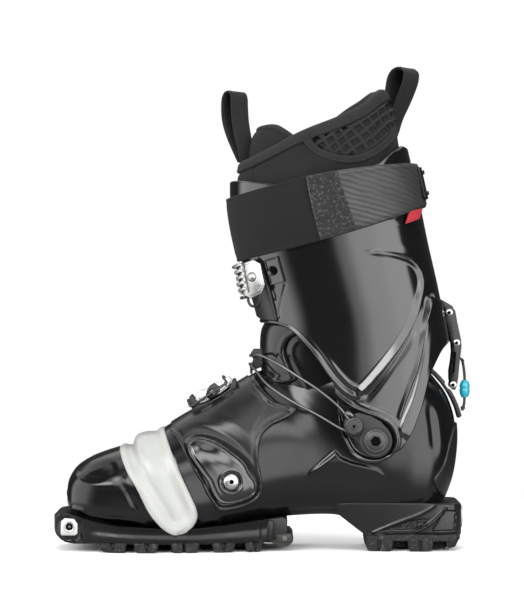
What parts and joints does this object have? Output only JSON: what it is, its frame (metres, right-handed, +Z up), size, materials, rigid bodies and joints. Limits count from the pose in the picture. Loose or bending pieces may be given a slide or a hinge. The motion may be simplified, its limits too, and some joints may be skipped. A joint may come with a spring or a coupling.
{
  "type": "telemark ski boot",
  "caption": "Right telemark ski boot: flexing bellows shell, hinged cuff with walk lever, buckles, power strap and padded liner.",
  "frame": {"origin": "on the floor under the middle of the sole's length, on the boot's centre plane", "axes": "+X towards the heel, so the toe is at -X; +Y towards the outer (lateral) side, where the buckle levers are; +Z up"},
  "size_m": [0.3133, 0.118, 0.3615],
  "materials": {
    "shell": "glossy moulded black plastic",
    "cuff": "glossy moulded black plastic",
    "bellows": "satin white flexible plastic",
    "rubber": "matt dark rubber",
    "plate": "matt grey-brown plastic",
    "steel": "bright steel",
    "dark_steel": "dark coated metal",
    "alu": "satin anodised",
    "fabric": "fine woven black fabric over foam",
    "webbing": "woven webbing",
    "black_plastic": "satin black plastic",
    "red": "woven red tab",
    "turquoise": "turquoise moulded plastic",
    "foam": "fabric over foam"
  },
  "bodies": {
    "shell": {"lower_shell": "shell", "instep_flap": "shell", "teardrop_cover": "black_plastic", "teardrop_rivet": "dark_steel", "shell_tongue": "shell", "mid_outsole": "rubber", "second_heel_plate": "plate", "heel_block": "black_plastic", "heel_outsole": "rubber", "heel_tech_insert": "steel", "heel_strip_inner": "black_plastic", "heel_strip_outer": "black_plastic", "liner_foot": "fabric", "bellows": "bellows", "pivot_bolt_inner": "dark_steel", "pivot_bolt_outer": "dark_steel", "lever_catch": "dark_steel", "ankle_cable": "steel", "cable_guide": "black_plastic", "instep_catch": "black_plastic", "instep_buckle_base": "black_plastic", "ankle_buckle_base": "black_plastic", "footbed": "foam"},
    "forefoot": {"toe_shell": "shell", "toe_outsole": "rubber", "toe_tech_insert": "steel"},
    "cuff": {"cuff_shell": "cuff", "liner_shaft": "fabric", "liner_tongue": "fabric", "front_loop": "webbing", "rear_loop": "webbing", "power_strap": "webbing", "strap_buckle": "black_plastic", "strap_tab": "red", "pivot_plate_inner": "black_plastic", "cable_disc_inner": "dark_steel", "lever_bracket": "dark_steel", "lever_pin_top": "steel", "cuff_buckle_base": "black_plastic", "cuff_catch": "alu", "cuff_catch_rivet": "steel", "cuff_catch_base": "black_plastic", "position_plate": "plate"},
    "walk_lever": {"lever_plate_inner": "dark_steel", "lever_plate_outer": "dark_steel", "walk_lever_bar": "black_plastic", "lever_pin_mid": "steel", "lever_pin_low": "steel"},
    "pull_cord": {"pull_cord": "webbing", "cord_bead": "turquoise", "cord_tail": "webbing"},
    "instep_lever": {"instep_buckle_lever": "alu"},
    "instep_bail": {"instep_buckle_bail": "steel"},
    "cuff_lever": {"cuff_buckle_lever": "alu"},
    "cuff_bail": {"cuff_buckle_bail": "steel"},
    "ankle_lever": {"ankle_buckle_lever": "alu"},
    "ankle_bail": {"ankle_buckle_bail": "steel"}
  },
  "joints": [
    {"name": "forefoot_flex", "type": "hinge", "parent": "shell", "child": "forefoot", "pos_m": [-0.0548, 0, 0.0059], "axis": [0, 1, 0], "range_deg": [0, 15], "deforming": ["bellows", "liner_foot", "footbed"]},
    {"name": "cuff_pivot", "type": "hinge", "parent": "shell", "child": "cuff", "pos_m": [0.0875, 0, 0.0829], "axis": [0, 1, 0], "range_deg": [-10, 22], "deforming": ["ankle_cable", "liner_shaft", "liner_tongue"]},
    {"name": "walk_lever_swing", "type": "hinge", "parent": "cuff", "child": "walk_lever", "pos_m": [0.145, 0, 0.1776], "axis": [0, -1, 0], "range_deg": [0, 45]},
    {"name": "pull_cord_swing", "type": "hinge", "parent": "walk_lever", "child": "pull_cord", "pos_m": [0.1566, 0, 0.1399], "axis": [0, -1, 0], "range_deg": [0, 40]},
    {"name": "instep_lever_open", "type": "hinge", "parent": "shell", "child": "instep_lever", "pos_m": [-0.03422, 0.02349, 0.11306], "axis": [0.8291, 0, 0.5591], "range_deg": [0, 90]},
    {"name": "instep_bail_swing", "type": "hinge", "parent": "instep_lever", "child": "instep_bail", "pos_m": [-0.03128, 0.03192, 0.10871], "axis": [0.8291, 0, 0.5591], "range_deg": [-90, 0]},
    {"name": "cuff_lever_open", "type": "hinge", "parent": "cuff", "child": "cuff_lever", "pos_m": [-0.00082, 0.03493, 0.20382], "axis": [-0.2501, 0, 0.9682], "range_deg": [0, 80]},
    {"name": "cuff_bail_swing", "type": "hinge", "parent": "cuff_lever", "child": "cuff_bail", "pos_m": [0.00672, 0.04246, 0.20577], "axis": [-0.2501, 0, 0.9682], "range_deg": [-80, 0]},
    {"name": "ankle_lever_open", "type": "hinge", "parent": "shell", "child": "ankle_lever", "pos_m": [0.0205, 0.04308, 0.10862], "axis": [0.6, 0, 0.8], "range_deg": [0, 60]},
    {"name": "ankle_bail_swing", "type": "hinge", "parent": "ankle_lever", "child": "ankle_bail", "pos_m": [0.02763, 0.04641, 0.10328], "axis": [0.6, 0, 0.8], "range_deg": [-60, 0]}
  ],
  "couplings": [
    {"joint": "instep_bail_swing", "follows": "instep_lever_open", "ratio": -1},
    {"joint": "cuff_bail_swing", "follows": "cuff_lever_open", "ratio": -1},
    {"joint": "ankle_bail_swing", "follows": "ankle_lever_open", "ratio": -1}
  ]
}
